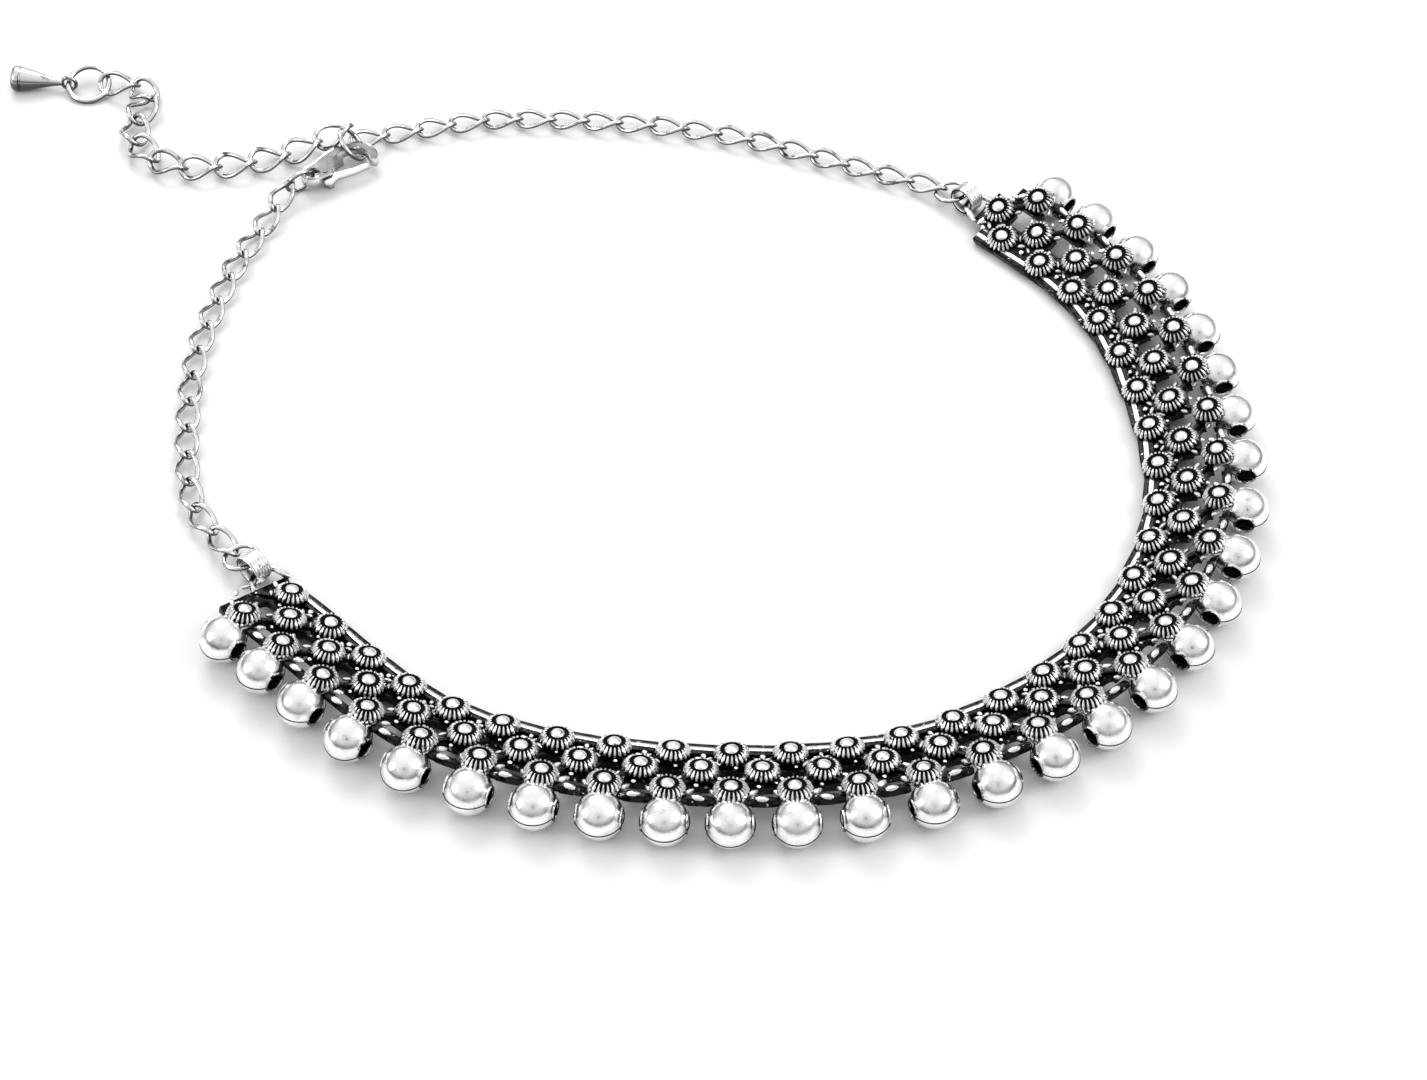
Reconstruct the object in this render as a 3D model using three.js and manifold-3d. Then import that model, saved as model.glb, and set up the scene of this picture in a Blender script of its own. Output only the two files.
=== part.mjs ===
// A choker necklace lying on a flat surface: a pierced band with three rows of rosette studs and
// hollow ball drops along its outer edge, closed by two curb chains, a lobster clasp and an
// extension chain that ends in a drop. Millimetres, +Z up. The origin is on the resting plane,
// under the middle of the whole necklace.
import * as THREE from "three";
import { mergeVertices } from "three/addons/utils/BufferGeometryUtils.js";
import Module from "manifold-3d";

const wasm = await Module();
wasm.setup();
const radians = THREE.MathUtils.degToRad;

// Clear space between pieces that meet, and how far fused shapes sink into each other
const seatGap = 0.3;
const linkGap = 0.4; // between a chain's last link and the ring it holds
const bite = 0.22;
const linkBite = 0.07;

// Band: places across it are outwards of the middle row, heights are above its underside
const columns = 29; // balls, and studs in each of the three rows
const bandTilt = radians(17); // the outer edge rides up on the balls
const innerRow = -3.45;
const outerRow = 4.2;
const plate = { innerEdge: -5.5, outerEdge: 3.3, thickness: 0.9 };
const innerSlot = { width: 0.8, length: 1.9 };
const outerWindow = { from: 1.1, to: 2.3, length: 3.4 };
const tab = { reach: 1.6, length: 2.6 }; // between two balls
const endPlate = { from: -2.9, to: 2.3, length: 2.2 }; // beyond the last middle stud
const lug = { radius: 2.25, wire: 0.65, reach: 0.5, leftAcross: -3.6, rightAcross: -0.9 };

// Rosette stud
const stud = { rim: 1.97, face: 1.2, height: 1.8 };
const roundSides = 10;

// Ball drop
const ball = { radius: 2.9, bore: 0.95, bands: 4, row: 7.0 }; // row is outwards in plan

// Curb chains
const curb = { wire: 0.65, width: 3.9, length: 5.4 }; // sizes over the wires
const largeCurb = { wire: 0.72, width: 4.7, length: 5.7 };
const leftLinks = 15;
const rightLinks = 18;
const extensionLinks = 11;
const linkTwist = radians(45);
const twistRate = 2; // the twist is spent in the middle of a link's sides
const wireSides = 5;

// Ribbed rings and jump rings between the band and the chains
const ribbedRing = { outer: 2.05, bore: 1.55, width: 2, groove: 0.18 };
const jumpRing = { radius: 2.15, wire: 0.6, lean: radians(10), turn: 0.4 };
const wireSpread = 1.0; // between the eye and the jump ring inside a ribbed ring

// Lobster clasp, along its own length from tail to hook end
const clasp = { length: 11.4, thickness: 2.8, tailRadius: 1.6, eye: 1, thin: 1.4, hookStart: 7.3 };
const claspTail = { x: -57.2, y: 50.6, turn: radians(33.8) };
const claspCurves = {
  back: [
    [3.2, 1.6, 4.6, 3, 7.4, 3],
    [9.9, 3, 11.4, 1.6, 11.4, -0.3],
    [11.4, -1.3, 11.1, -1.9, 10.5, -2.4],
  ],
  opening: [
    [9.75, -1.75, 9.75, -1.75, 9.75, -1.75],
    [10.1, -1, 10.1, -0.2, 10.1, 0.1],
    [10, 1.2, 9, 1.75, 7.6, 1.75],
    [6.2, 1.75, 5.2, 1, 4.9, -0.1],
  ],
};
const claspHeel = [3.9, -1.6]; // where the opening's edge runs out behind the lever
const lever = { thickness: 0.7, lowered: 0.3, hinge: [3.3, -0.55], eye: 0.95, pin: 0.4, pinGap: 0.2 };
const leverOutline = [
  [2.35, -2.2],
  [3, -2.7],
  [4.4, -2.1],
  [7, -2.45],
  [9.22, -2.38],
  [9.41, -1.6],
  [7, -1.45],
  [4.9, -1],
];
const leverSlot = { length: 3.65, to: 1 }; // along and across the clasp
const claspRing = { radius: 2, wire: 0.6, tilt: radians(72) };
const junctionRing = { radius: 2.45, wire: 0.7, tilt: radians(52), spread: radians(36) };
const junctionPlace = { rim: [8.9, 1.85], turn: radians(62), beyond: 1.0 };

// End of the extension chain
const endRing = { radius: 2.9, wire: 0.8, lean: radians(-18) };
const endDrop = { length: 7.4, radius: 1.9, neck: 0.5, eye: 1.0, eyeWire: 0.55, rim: 0.7 };

// Routes in plan round the middle of the loop, a few chosen points each
const bandRoute = [
  [-56.9, -25.4],
  [-33.1, -46.2],
  [-5.4, -53.1],
  [24.1, -50.8],
  [48.3, -34.8],
  [60, -10.3],
  [57.2, 18.2],
  [50.6, 31.9],
  [39.6, 43.9],
];
const leftChainRoute = [
  [-65.4, -10.5],
  [-67.4, -2],
  [-68.3, 7.5],
  [-68.4, 16.5],
  [-67, 25.8],
  [-64.8, 35],
  [-61.4, 43.4],
];
const rightChainRoute = [
  [-41.1, 62.4],
  [-31.7, 64.4],
  [-22.2, 64.4],
  [-12.6, 63.7],
  [-3.6, 62.4],
  [5.7, 60],
  [14.4, 56.6],
  [22.9, 53.1],
];
const extensionRoute = [
  [-58, 57.8],
  [-63.1, 55.5],
  [-68.7, 54.2],
  [-74, 53.8],
  [-79, 55.8],
  [-81.8, 59.5],
  [-82.4, 64.7],
  [-80.3, 70.2],
  [-84.6, 72],
  [-88, 72.2],
];

const silver = new THREE.MeshStandardMaterial({ color: 0xd9dadb, roughness: 0.28, metalness: 1 });
const oxidised = new THREE.MeshStandardMaterial({ color: 0x55565a, roughness: 0.45, metalness: 1 });
const polished = new THREE.MeshStandardMaterial({ color: 0xe6e7e8, roughness: 0.18, metalness: 1 });

const up = new THREE.Vector3(0, 0, 1);
const vec = (x, y, z = 0) => new THREE.Vector3(x, y, z);

// Solid helpers
function solid(geometry) {
  const flat = geometry.index ? geometry.toNonIndexed() : geometry.clone();
  const bare = new THREE.BufferGeometry().setAttribute("position", flat.getAttribute("position"));
  const merged = mergeVertices(bare, 1e-4);
  const wound = (triVerts) =>
    new wasm.Manifold(
      new wasm.Mesh({ numProp: 3, vertProperties: merged.attributes.position.array, triVerts }),
    );
  const triVerts = new Uint32Array(merged.index.array);
  const made = wound(triVerts);
  return made.volume() > 0 ? made : wound(triVerts.reverse());
}

function geometryOf(manifold) {
  const mesh = manifold.getMesh();
  const positions = new Float32Array(mesh.numVert * 3);
  for (let i = 0; i < mesh.numVert; i++)
    positions.set(mesh.vertProperties.subarray(i * mesh.numProp, i * mesh.numProp + 3), i * 3);
  const geometry = new THREE.BufferGeometry()
    .setAttribute("position", new THREE.BufferAttribute(positions, 3))
    .setIndex(new THREE.BufferAttribute(mesh.triVerts, 1));
  geometry.computeVertexNormals();
  return geometry;
}

const joined = (solids) => solids.reduce((all, one) => all.add(one));

const necklace = new THREE.Group();

function addNode(name, manifold, material) {
  const mesh = new THREE.Mesh(geometryOf(manifold), material);
  mesh.name = name;
  necklace.add(mesh);
}

// A frame at a point with its x axis along a direction and its z axis as near up as it can be,
// rolled about x
function frameAt(point, direction, roll = 0) {
  const x = direction.clone().normalize();
  const y = new THREE.Vector3().crossVectors(up, x).normalize();
  const z = new THREE.Vector3().crossVectors(x, y);
  return new THREE.Matrix4()
    .makeBasis(x, y, z)
    .setPosition(point)
    .multiply(new THREE.Matrix4().makeRotationX(roll));
}

// LatheGeometry turns round Y; this turns [radius, height] pairs round Z.
function turned(profile, sides) {
  const points = profile.map(([r, z]) => new THREE.Vector2(r, z));
  return new THREE.LatheGeometry(points, sides).rotateX(Math.PI / 2);
}

// The band is a row of flat plates, one to a column, mitred where they meet. Their line runs
// under the middle row, from half a pitch before the first column to the last middle stud, and
// on in the direction of the last plate.
const bandCurve = new THREE.CatmullRomCurve3(
  bandRoute.map(([x, y]) => vec(x, y)),
  false,
  "centripetal",
);
const corners = bandCurve.getSpacedPoints(columns);
corners.push(corners[columns].clone().multiplyScalar(2).sub(corners[columns - 1]));
const columnPitch = corners[1].distanceTo(corners[0]);
const bandLift = -plate.innerEdge * Math.sin(bandTilt);

function heading(k) {
  const tangent = corners[k + 1].clone().sub(corners[k]).normalize();
  return { tangent, outward: new THREE.Vector3().crossVectors(tangent, up) };
}

// A place on the band's section, off its line by so much across and above its underside
function offset(outward, across, height) {
  return outward
    .clone()
    .multiplyScalar(across * Math.cos(bandTilt) - height * Math.sin(bandTilt))
    .addScaledVector(up, bandLift + across * Math.sin(bandTilt) + height * Math.cos(bandTilt));
}

// The same place in the mitre between two plates
function onMitre(i, across, height) {
  const [before, after] = [Math.max(i - 1, 0), Math.min(i, columns)].map((k) => heading(k).outward);
  const mitre = before.clone().add(after).normalize();
  return corners[i].clone().add(offset(mitre.divideScalar(mitre.dot(before)), across, height));
}

// Frame on the band: x along it, y inwards across it, z off its face
function bandFrame(point, { tangent, outward }, across, height) {
  const face = offset(outward, 0, 1).sub(offset(outward, 0, 0));
  const inward = new THREE.Vector3().crossVectors(face, tangent);
  return new THREE.Matrix4()
    .makeBasis(tangent, inward, face)
    .setPosition(point.clone().add(offset(outward, across, height)));
}

function columnFrame(k, across, height) {
  const middle = corners[k].clone().lerp(corners[k + 1], 0.5);
  return bandFrame(middle, heading(k), across, height);
}

function rosette(frame) {
  const outline = Array.from({ length: roundSides }, (_, i) => {
    const angle = (i * 2 * Math.PI) / roundSides;
    return new THREE.Vector2(Math.cos(angle), Math.sin(angle)).multiplyScalar(stud.rim);
  });
  const options = { depth: stud.height, bevelEnabled: false };
  const geometry = new THREE.ExtrudeGeometry(new THREE.Shape(outline), options);
  const { position } = geometry.attributes;
  for (let i = 0; i < position.count; i++) {
    const taper = position.getZ(i) > 0 ? stud.face / stud.rim : 1;
    position.setXY(i, position.getX(i) * taper, position.getY(i) * taper);
  }
  return solid(geometry.applyMatrix4(frame));
}

// The band is drawn flat, as triangles of [along, across, height] with along counted in plates,
// and then laid on its mitres. Both are rounded as a face's own points are, so that faces meet.
function laid(point) {
  const [along, across] = point.map(Math.fround);
  const k = Math.min(Math.floor(along), columns);
  return onMitre(k, across, point[2]).lerp(onMitre(k + 1, across, point[2]), along - k);
}

function flatFace(outline, holes, height, facesUp) {
  const shape = new THREE.Shape(outline.map(([x, y]) => new THREE.Vector2(x, y)));
  shape.holes = holes.map((hole) => new THREE.Path(hole.map(([x, y]) => new THREE.Vector2(x, y))));
  const { index, attributes } = new THREE.ShapeGeometry(shape);
  const points = Array.from(index.array, (i) => [
    attributes.position.getX(i),
    attributes.position.getY(i),
    height,
  ]);
  return facesUp ? points : points.reverse();
}

function wall(path, low, high) {
  return path.slice(1).flatMap(([x1, y1], i) => {
    const [x0, y0] = path[i];
    const [a, b, c, d] = [
      [x0, y0, low],
      [x1, y1, low],
      [x1, y1, high],
      [x0, y0, high],
    ];
    return [a, b, c, a, c, d];
  });
}

// Corners of a stud's round, counted from its outward side
function studCorner(centre, radius, j, pitch) {
  const angle = Math.PI / 2 + (j * 2 * Math.PI) / roundSides;
  return [centre[0] + (radius * Math.cos(angle)) / pitch, centre[1] + radius * Math.sin(angle)];
}

function flatStud(centre, pitch) {
  const turns = Array.from({ length: roundSides + 1 }, (_, j) => j);
  const high = plate.thickness + stud.height;
  const base = turns.map((j) => [...studCorner(centre, stud.rim, j, pitch), plate.thickness]);
  const top = turns.map((j) => [...studCorner(centre, stud.face, j, pitch), high]);
  const side = turns.slice(1).flatMap((j) => [
    ...[base[j - 1], base[j], top[j]],
    ...[base[j - 1], top[j], top[j - 1]],
  ]);
  const face = turns.slice(2, -1).flatMap((j) => [top[0], top[j - 1], top[j]]);
  return [...side, ...face];
}

const half = roundSides / 2;
const rimArc = (centre, from, to, pitch) =>
  Array.from({ length: half + 1 }, (_, i) =>
    studCorner(centre, stud.rim, from + ((to - from) * i) / half, pitch),
  );

function rectangle(low, high, from, to) {
  return [
    [low, from],
    [high, from],
    [high, to],
    [low, to],
  ];
}

// The slot lies across the line between an inner and a middle stud, half way
function slotOutline(k) {
  const line = new THREE.Vector2(columnPitch / 2, -innerRow);
  const middle = new THREE.Vector2(0, innerRow).addScaledVector(line, 0.5);
  const direction = line.clone().normalize();
  const across = new THREE.Vector2(-direction.y, direction.x);
  return rectangle(-1, 1, -1, 1).map(([width, length]) => {
    const corner = middle
      .clone()
      .addScaledVector(direction, (width * innerSlot.width) / 2)
      .addScaledVector(across, (length * innerSlot.length) / 2);
    return [k + 0.5 + corner.x / columnPitch, corner.y];
  });
}

function flatColumn(k) {
  const { innerEdge, outerEdge, thickness } = plate;
  const [first, last] = [k === 0, k === columns - 1];
  const halfTab = tab.length / 2 / columnPitch;
  const tabEdge = outerEdge + tab.reach;
  const inner = [
    [k, innerEdge],
    [k + 1, innerEdge],
  ];
  const outer = [
    [k + 1, tabEdge],
    [k + 1 - halfTab, tabEdge],
    [k + 1 - halfTab, outerEdge],
    [k + halfTab, outerEdge],
    [k + halfTab, tabEdge],
    [k, tabEdge],
  ];
  const [below, above] = [[k + 1, endPlate.from], [k + 1, endPlate.to]];
  const before = first ? [] : rimArc([k, 0], roundSides, half, columnPitch);
  const after = rimArc([k + 1, 0], half, 0, columnPitch);
  const innerStud = [k + 0.5, innerRow];
  const innerPitch = onMitre(k, innerRow, thickness).distanceTo(onMitre(k + 1, innerRow, thickness));
  const halfWindow = outerWindow.length / 2 / columnPitch;
  const window = rectangle(k + 0.5 - halfWindow, k + 0.5 + halfWindow, outerWindow.from, outerWindow.to);
  const holes = [window, slotOutline(k)];
  const studHole = [
    ...rimArc(innerStud, 0, half, innerPitch),
    ...rimArc(innerStud, half, roundSides, innerPitch).slice(1, -1),
  ];
  const bottomOutline = [...inner, ...(last ? [below, above] : []), ...outer];
  const right = last ? [below, ...after, above] : after;
  const topOutline = [...inner, ...right, ...outer, ...before];
  return [
    ...flatFace(bottomOutline, holes, 0, false),
    ...flatFace(topOutline, [...holes, studHole], thickness, true),
    ...wall(inner, 0, thickness),
    ...wall(outer, 0, thickness),
    ...(first ? wall([outer.at(-1), inner[0]], 0, thickness) : []),
    ...(last ? wall([inner[1], below], 0, thickness) : []),
    ...(last ? wall([above, outer[0]], 0, thickness) : []),
    ...holes.flatMap((hole) => wall([...hole, hole[0]].reverse(), 0, thickness)),
    ...flatStud(innerStud, innerPitch),
    ...flatStud([k + 1, 0], columnPitch),
  ];
}

function flatEnd() {
  const { from, to, length } = endPlate;
  const outline = rectangle(columns, columns + length / columnPitch, from, to);
  const notch = rimArc([columns, 0], roundSides, half, columnPitch);
  return [
    ...flatFace(outline, [], 0, false),
    ...flatFace([...outline, ...notch], [], plate.thickness, true),
    ...wall(outline, 0, plate.thickness),
  ];
}

// Eye at each end of the band
const lugs = [
  { k: 0, side: -1, along: 0, across: lug.leftAcross },
  { k: columns, side: 1, along: endPlate.length, across: lug.rightAcross },
].map(({ k, side, along, across }) => {
  const { tangent } = heading(k);
  const end = corners[k].clone().addScaledVector(tangent, along);
  const away = tangent.clone().multiplyScalar(side);
  const root = new THREE.Vector3().setFromMatrixPosition(
    bandFrame(end, heading(k), across, plate.thickness / 2),
  );
  const slope = (ribbedRing.outer - root.z) / (2.5 * lug.radius);
  const direction = away.clone().addScaledVector(up, slope).normalize();
  const middle = root.clone().addScaledVector(direction, lug.reach);
  const wirePoint = middle.clone().addScaledVector(direction, lug.radius);
  return { middle, direction, wirePoint, away };
});

function ring(radius, wire, matrix) {
  return solid(new THREE.TorusGeometry(radius, wire / 2, wireSides, roundSides).applyMatrix4(matrix));
}

function wovenBand() {
  const triangles = Array.from({ length: columns }, (_, k) => flatColumn(k)).flat();
  const points = [...triangles, ...flatEnd()].map(laid);
  const band = solid(new THREE.BufferGeometry().setFromPoints(points));
  const eyes = lugs.map(({ middle, direction }) =>
    ring(lug.radius, lug.wire, frameAt(middle, direction)),
  );
  return joined([band, ...eyes]);
}

// Ball drop: the ball's bore runs along the band
function ballDrop(k) {
  const { tangent, outward } = heading(k);
  const centre = corners[k].clone().lerp(corners[k + 1], 0.5);
  centre.addScaledVector(outward, ball.row).addScaledVector(up, ball.radius);
  const edge = Math.asin(ball.bore / ball.radius);
  const profile = [];
  for (let i = 0; i <= ball.bands; i++) {
    const angle = edge + ((Math.PI - 2 * edge) * i) / ball.bands;
    profile.push([ball.radius * Math.sin(angle), -ball.radius * Math.cos(angle)]);
  }
  profile.push(profile[0]);
  const bead = turned(profile, roundSides)
    .rotateY(Math.PI / 2)
    .applyMatrix4(frameAt(centre, tangent));
  return solid(bead).add(rosette(columnFrame(k, outerRow, plate.thickness + seatGap)));
}

// Curb link: an oval of wire with a flat facet at each end, twisted about its length so that
// neighbours cross square. The reach is from its middle to the middle of the wire at an end.
const sideFullness = 0.8; // under 1, an oval with fuller ends
const endFacet = Math.cos(Math.PI / roundSides);
const wireFacet = Math.cos(Math.PI / wireSides);

function link({ wire, width }, reach) {
  const geometry = new THREE.TorusGeometry(1, 0.1, wireSides, roundSides);
  const halfLength = reach / endFacet;
  const { position, uv } = geometry.attributes;
  const halfWidth = (width - wire) / 2;
  for (let i = 0; i < position.count; i++) {
    const around = (uv.getX(i) + 0.5 / roundSides) * 2 * Math.PI;
    const section = uv.getY(i) * 2 * Math.PI;
    const [cos, sin] = [Math.cos(around), Math.sin(around)];
    const outward = vec(halfWidth * cos, halfLength * sin).normalize();
    const side = halfWidth * Math.sign(sin) * Math.abs(sin) ** sideFullness;
    const place = vec(halfLength * cos, side, (wire / 2) * Math.sin(section));
    place.addScaledVector(outward, (wire / 2) * Math.cos(section));
    const twist = THREE.MathUtils.clamp(twistRate * cos, -1, 1);
    place.applyAxisAngle(vec(1, 0), linkTwist * twist);
    position.setXYZ(i, place.x, place.y, place.z);
  }
  return geometry;
}

// Height of a chain's middle line when its links lie on the ground
function chainLift(size) {
  const geometry = link(size, (size.length - size.wire) / 2);
  geometry.computeBoundingBox();
  return -geometry.boundingBox.min.z;
}

function chain(size, route, links) {
  const curve = new THREE.CatmullRomCurve3(route, false, "centripetal");
  const joints = curve.getSpacedPoints(links);
  const solids = [];
  for (let i = 0; i < links; i++) {
    const step = joints[i + 1].clone().sub(joints[i]);
    const middle = joints[i].clone().addScaledVector(step, 0.5);
    const reach = (step.length() + size.wire * wireFacet - linkBite) / 2;
    solids.push(solid(link(size, reach).applyMatrix4(frameAt(middle, step))));
  }
  const made = joined(solids);
  return made.translate(0, 0, -made.boundingBox().min[2]);
}

// Where a chain starts or ends so that its last link holds a ring's wire with the gap round it
function hold(wirePoint, towards, ringWire) {
  const away = towards.clone().sub(wirePoint).normalize();
  return wirePoint.clone().addScaledVector(away, -(linkBite / 2 + linkGap + ringWire / 2));
}

const onGround = (route, size) => route.map(([x, y]) => vec(x, y, chainLift(size)));

// Ribbed ring and jump ring beyond an eye of the band, the jump ring turned towards its chain
function bandJoint({ wirePoint, away }, [chainX, chainY]) {
  const hoop = wirePoint.clone().addScaledVector(away, wireSpread / 2);
  hoop.z = ribbedRing.outer;
  const near = hoop.clone().addScaledVector(away, wireSpread / 2);
  const chainWards = vec(chainX - near.x, chainY - near.y).normalize();
  const down = away.clone().lerp(chainWards, jumpRing.turn).normalize();
  down.addScaledVector(up, -Math.tan(jumpRing.lean)).normalize();
  const jumpMiddle = near.clone().addScaledVector(down, jumpRing.radius);
  const far = jumpMiddle.clone().addScaledVector(down, jumpRing.radius);
  const { outer, bore, width, groove } = ribbedRing;
  const profile = [
    [bore, -width / 2],
    [outer, -width / 2],
    [outer - groove, 0],
    [outer, width / 2],
    [bore, width / 2],
    [bore, -width / 2],
  ];
  const ribbed = solid(
    turned(profile, roundSides).rotateX(Math.PI / 2).applyMatrix4(frameAt(hoop, away)),
  );
  const jump = ring(jumpRing.radius, jumpRing.wire, frameAt(jumpMiddle, down));
  return { ribbed, jump, far };
}

// Clasp, drawn from tail to hook end with its shoulder on the +y side
const claspFrame = new THREE.Matrix4()
  .makeRotationZ(claspTail.turn)
  .setPosition(claspTail.x, claspTail.y, 0);
const onClasp = (x, y, z = 0) => vec(x, y, z).applyMatrix4(claspFrame);

function extruded(shape, low, high) {
  const depth = high - low;
  return solid(
    new THREE.ExtrudeGeometry(shape, { depth, bevelEnabled: false, curveSegments: 3 })
      .translate(0, 0, low)
      .applyMatrix4(claspFrame),
  );
}

function claspBox(x0, x1, y0, y1, z0, z1) {
  return solid(
    new THREE.BoxGeometry(x1 - x0, y1 - y0, z1 - z0)
      .translate((x0 + x1) / 2, (y0 + y1) / 2, (z0 + z1) / 2)
      .applyMatrix4(claspFrame),
  );
}

const leverMiddle = (clasp.thin + clasp.thickness) / 2 - lever.lowered;
const slotLow = leverMiddle - lever.thickness / 2 - seatGap;
const slotHigh = leverMiddle + lever.thickness / 2 + seatGap;
const [hingeX, hingeY] = lever.hinge;

function claspBody() {
  const { length, tailRadius } = clasp;
  const shape = new THREE.Shape();
  shape.absarc(tailRadius, 0, tailRadius, -Math.PI / 2, Math.PI / 2, true);
  for (const curve of [...claspCurves.back, ...claspCurves.opening]) shape.bezierCurveTo(...curve);
  shape.lineTo(...claspHeel);
  const eye = new THREE.Path().absarc(tailRadius, 0, clasp.eye, 0, 2 * Math.PI, false);
  shape.holes.push(eye);
  const pin = solid(
    turned(
      [
        [0, slotLow - bite],
        [lever.pin, slotLow - bite],
        [lever.pin, slotHigh + bite],
        [0, slotHigh + bite],
      ],
      roundSides,
    )
      .translate(hingeX, hingeY, 0)
      .applyMatrix4(claspFrame),
  );
  const tailEnd = 2 * tailRadius;
  const slotStart = hingeX - lever.eye - seatGap;
  return extruded(shape, 0, clasp.thickness)
    .subtract(claspBox(-length, tailEnd, -length, length, -length, clasp.thin))
    .subtract(claspBox(clasp.hookStart, 2 * length, -length, length, -length, clasp.thin))
    .subtract(claspBox(slotStart, slotStart + leverSlot.length, -length, leverSlot.to, slotLow, slotHigh))
    .add(pin);
}

function claspLever() {
  const shape = new THREE.Shape();
  shape.absarc(hingeX, hingeY, lever.eye, Math.PI / 2, Math.PI, false);
  for (const [x, y] of leverOutline) shape.lineTo(x, y);
  const hole = new THREE.Path().absarc(hingeX, hingeY, lever.pin + lever.pinGap, 0, 2 * Math.PI, true);
  shape.holes.push(hole);
  return extruded(shape, leverMiddle - lever.thickness / 2, leverMiddle + lever.thickness / 2);
}

// A ring that stands on the ground, tilted about a level direction: its frame's x axis
function standingRing({ radius, wire, tilt }, point, direction) {
  const middle = point.clone();
  middle.z = radius * Math.sin(tilt) + wire / 2;
  const frame = frameAt(middle, direction, tilt);
  const at = (angle) =>
    vec(radius * Math.cos(angle), radius * Math.sin(angle)).applyMatrix4(frame);
  return { body: ring(radius, wire, frame), at };
}

const tailRing = standingRing(
  claspRing,
  onClasp(clasp.tailRadius - claspRing.radius, 0),
  onClasp(-1, 0).sub(onClasp(0, 0)),
);
const { rim, turn, beyond } = junctionPlace;
const outwards = onClasp(Math.cos(turn), Math.sin(turn)).sub(onClasp(0, 0));
const junction = standingRing(
  junctionRing,
  onClasp(...rim).addScaledVector(outwards, beyond),
  outwards,
);

addNode("woven_band", wovenBand(), oxidised);
for (let k = 0; k < columns; k++)
  addNode(`ball_drop_${String(k + 1).padStart(2, "0")}`, ballDrop(k), silver);

const chainStarts = [leftChainRoute[0], rightChainRoute.at(-1)];
const [leftJoint, rightJoint] = lugs.map((one, i) => bandJoint(one, chainStarts[i]));
addNode("left_ribbed_ring", leftJoint.ribbed, polished);
addNode("right_ribbed_ring", rightJoint.ribbed, polished);
addNode("left_jump_ring", leftJoint.jump, polished);
addNode("right_jump_ring", rightJoint.jump, polished);

const leftMiddle = onGround(leftChainRoute, curb);
const leftRoute = [
  hold(leftJoint.far, leftMiddle[0], jumpRing.wire),
  ...leftMiddle,
  hold(tailRing.at(0), leftMiddle.at(-1), claspRing.wire),
];
addNode("left_chain", chain(curb, leftRoute, leftLinks), polished);

const rightMiddle = onGround(rightChainRoute, curb);
const rightRoute = [
  hold(junction.at(-junctionRing.spread), rightMiddle[0], junctionRing.wire),
  ...rightMiddle,
  hold(rightJoint.far, rightMiddle.at(-1), jumpRing.wire),
];
addNode("right_chain", chain(curb, rightRoute, rightLinks), polished);

const extensionMiddle = onGround(extensionRoute, largeCurb);
const extensionPath = [
  hold(junction.at(junctionRing.spread), extensionMiddle[0], junctionRing.wire),
  ...extensionMiddle,
];
addNode("extension_chain", chain(largeCurb, extensionPath, extensionLinks), polished);

addNode("clasp_ring", tailRing.body, polished);
addNode("junction_ring", junction.body, polished);
addNode("clasp_body", claspBody(), polished);
addNode("clasp_lever", claspLever(), polished);

// Ring at the end of the extension, leaning about the line of the chain, and the drop on it
const chainEnd = extensionMiddle.at(-1);
const endDirection = chainEnd.clone().sub(extensionMiddle.at(-2)).normalize();
const ringHold = bite / 2 + seatGap + endRing.wire / 2;
const endMiddle = chainEnd.clone().addScaledVector(endDirection, endRing.radius - ringHold);
endMiddle.z = endRing.radius * Math.sin(-endRing.lean) + endRing.wire / 2;
const endFrame = frameAt(endMiddle, endDirection, endRing.lean);
addNode("end_ring", ring(endRing.radius, endRing.wire, endFrame), polished);

function dropSolid() {
  const wireGap = seatGap + (endRing.wire + endDrop.eyeWire) / 2;
  const reach = endRing.radius + wireGap - endDrop.eye;
  const eyeMiddle = endMiddle.clone().addScaledVector(endDirection, reach);
  eyeMiddle.z = endDrop.eye + endDrop.eyeWire / 2;
  const total = endDrop.eye + endDrop.length;
  const rise = Math.asin((endDrop.radius - eyeMiddle.z) / total);
  const direction = endDirection.clone().addScaledVector(up, Math.tan(rise));
  const frame = frameAt(eyeMiddle, direction);
  const profile = [
    [0, endDrop.eye - bite],
    [endDrop.neck, endDrop.eye - bite],
    [endDrop.radius, total - endDrop.rim],
    [endDrop.radius, total],
    [0, total],
  ];
  const cone = solid(turned(profile, roundSides).rotateY(Math.PI / 2).applyMatrix4(frame));
  return cone.add(ring(endDrop.eye, endDrop.eyeWire, frameAt(eyeMiddle, direction, Math.PI / 2)));
}
addNode("end_drop", dropSolid(), polished);

const bounds = new THREE.Box3().setFromObject(necklace);
const middle = bounds.getCenter(new THREE.Vector3());
necklace.position.set(-middle.x, -middle.y, -bounds.min.z);

export default necklace;
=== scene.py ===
# Choker necklace laid out on a pale floor: a rosette band edged with ball drops, two curb
# chains, a lobster clasp and an extension chain with its end drop.
# Shapes are drawn in millimetres and placed in metres.
import math
import random

import bmesh
import bpy
import numpy
from mathutils import Matrix, Vector


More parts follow.
